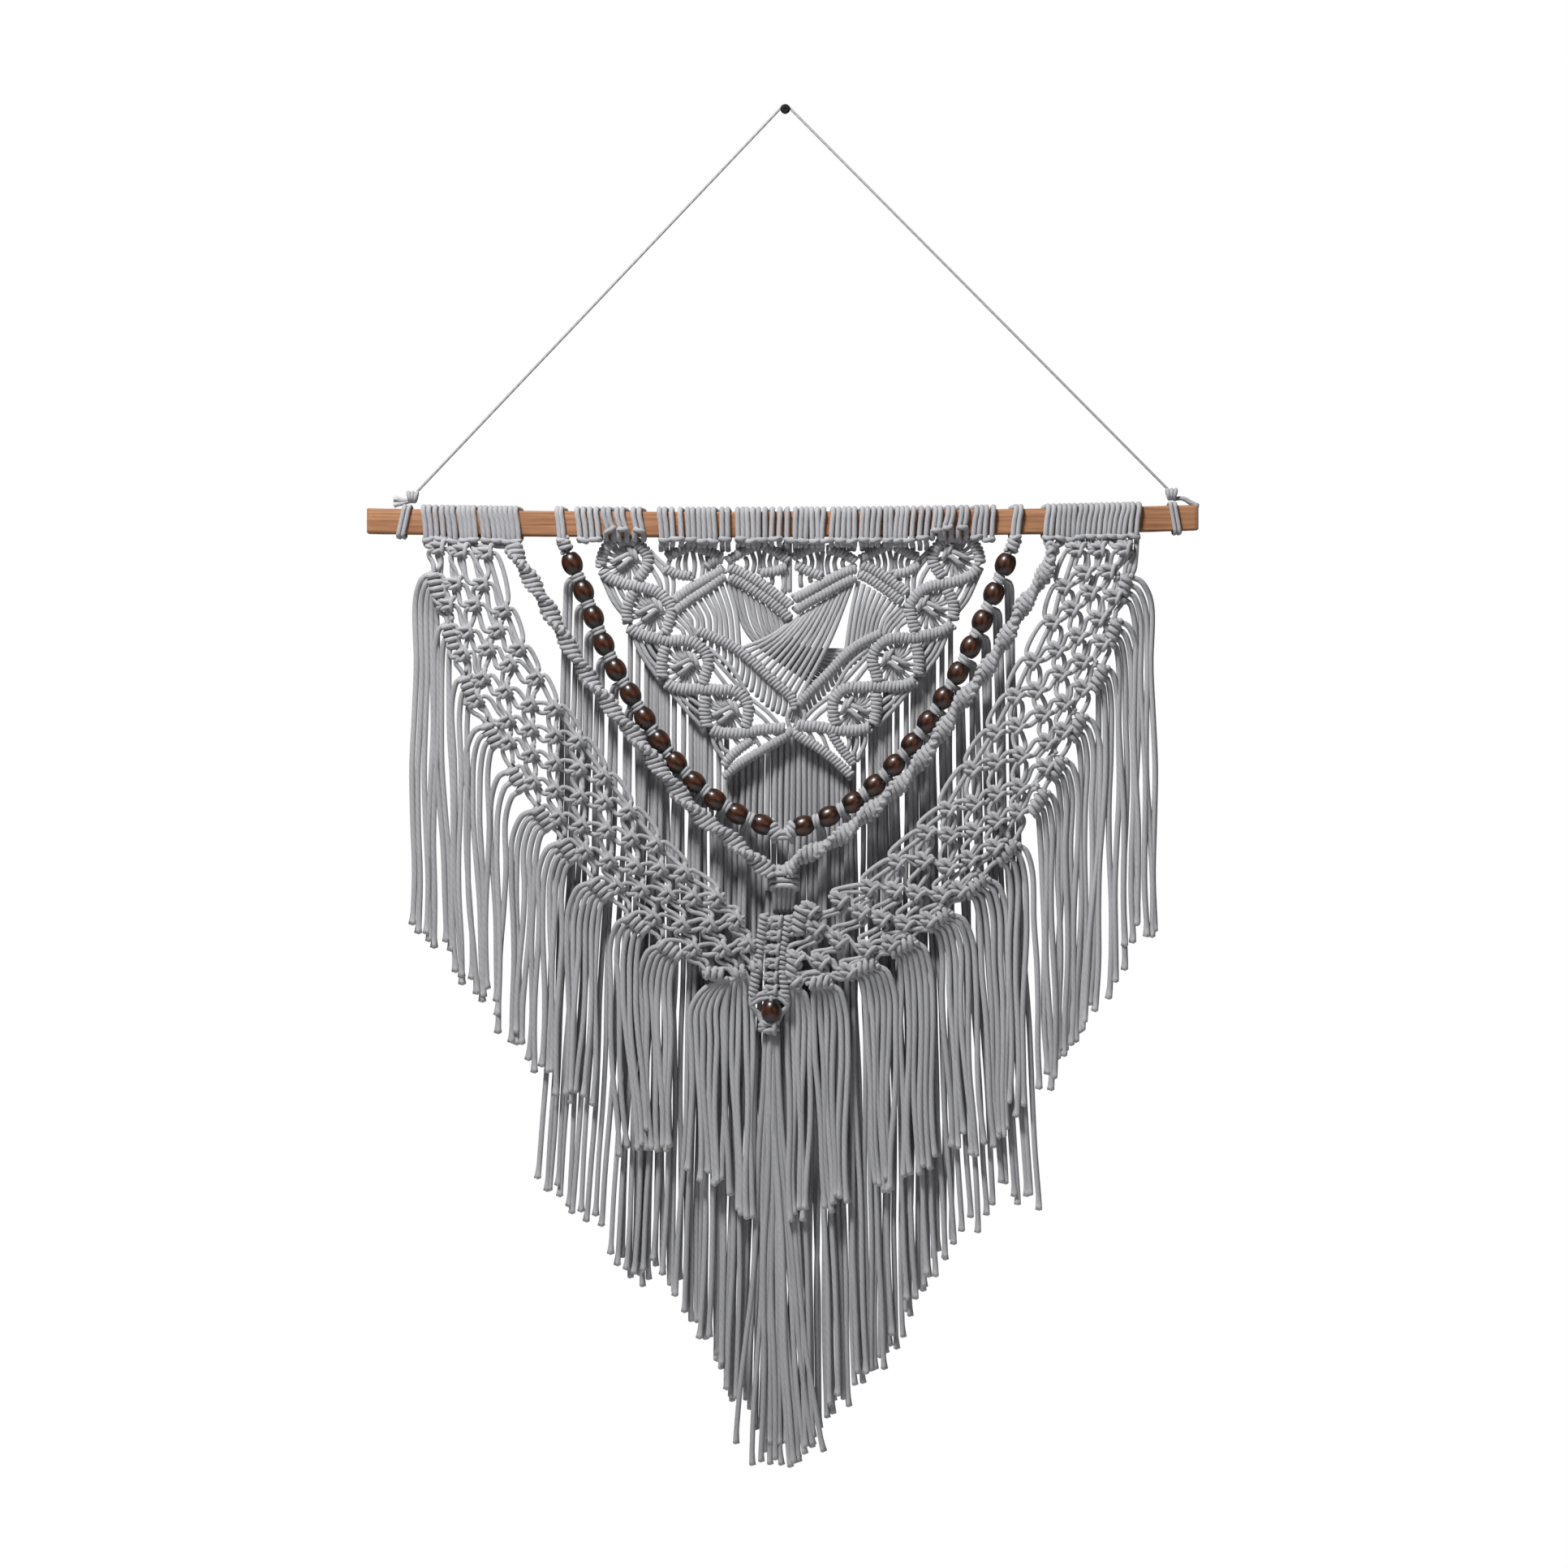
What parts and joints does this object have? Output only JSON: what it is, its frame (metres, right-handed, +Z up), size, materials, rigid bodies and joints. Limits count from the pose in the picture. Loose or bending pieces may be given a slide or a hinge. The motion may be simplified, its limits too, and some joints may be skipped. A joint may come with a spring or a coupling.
{
  "type": "macrame wall hanging on a wooden rod with its screw",
  "caption": "A knotted cotton wall hanging on a squared wooden rod, with V bands of netting, twisted cord and wooden beads round a knotted panel, and a long pointed fringe.",
  "frame": {"origin": "centre of the wall screw's flat shank end, on the plane of the wall", "axes": "+X to the viewer's right along the rod, +Z up, +Y into the wall, so the hanging lies on the -Y side"},
  "size_m": [0.6106, 0.0364, 1.0025],
  "materials": {
    "cotton": "light grey twisted cotton cord, matt and slightly fuzzy",
    "rod_wood": "tan brown wood with fine reddish grain along its length, plain and matt",
    "bead_wood": "very dark brown stained wood with a gloss varnish",
    "black_metal": "black satin"
  },
  "bodies": {
    "root": {"rod": "rod_wood", "wall_screw": "black_metal", "hanging_cord": "cotton", "tie_left": "cotton", "tie_right": "cotton", "net": "cotton", "net_fringe_left": "cotton", "net_fringe_right": "cotton", "tail_tassel": "cotton", "spiral": "cotton", "spiral_strands": "cotton", "bead_cord": "cotton", "bead_strands": "cotton", "panel": "cotton", "panel_strands_centre": "cotton", "panel_strands_left": "cotton", "panel_strands_right": "cotton", "bead_tail": "bead_wood", "bead_left_01": "bead_wood", "bead_left_02": "bead_wood", "bead_left_03": "bead_wood", "bead_left_04": "bead_wood", "bead_left_05": "bead_wood", "bead_left_06": "bead_wood", "bead_left_07": "bead_wood", "bead_left_08": "bead_wood", "bead_left_09": "bead_wood", "bead_left_10": "bead_wood", "bead_left_11": "bead_wood", "bead_left_12": "bead_wood", "bead_left_13": "bead_wood", "bead_right_01": "bead_wood", "bead_right_02": "bead_wood", "bead_right_03": "bead_wood", "bead_right_04": "bead_wood", "bead_right_05": "bead_wood", "bead_right_06": "bead_wood", "bead_right_07": "bead_wood", "bead_right_08": "bead_wood", "bead_right_09": "bead_wood", "bead_right_10": "bead_wood", "bead_right_11": "bead_wood", "bead_right_12": "bead_wood", "bead_right_13": "bead_wood"}
  },
  "joints": []
}
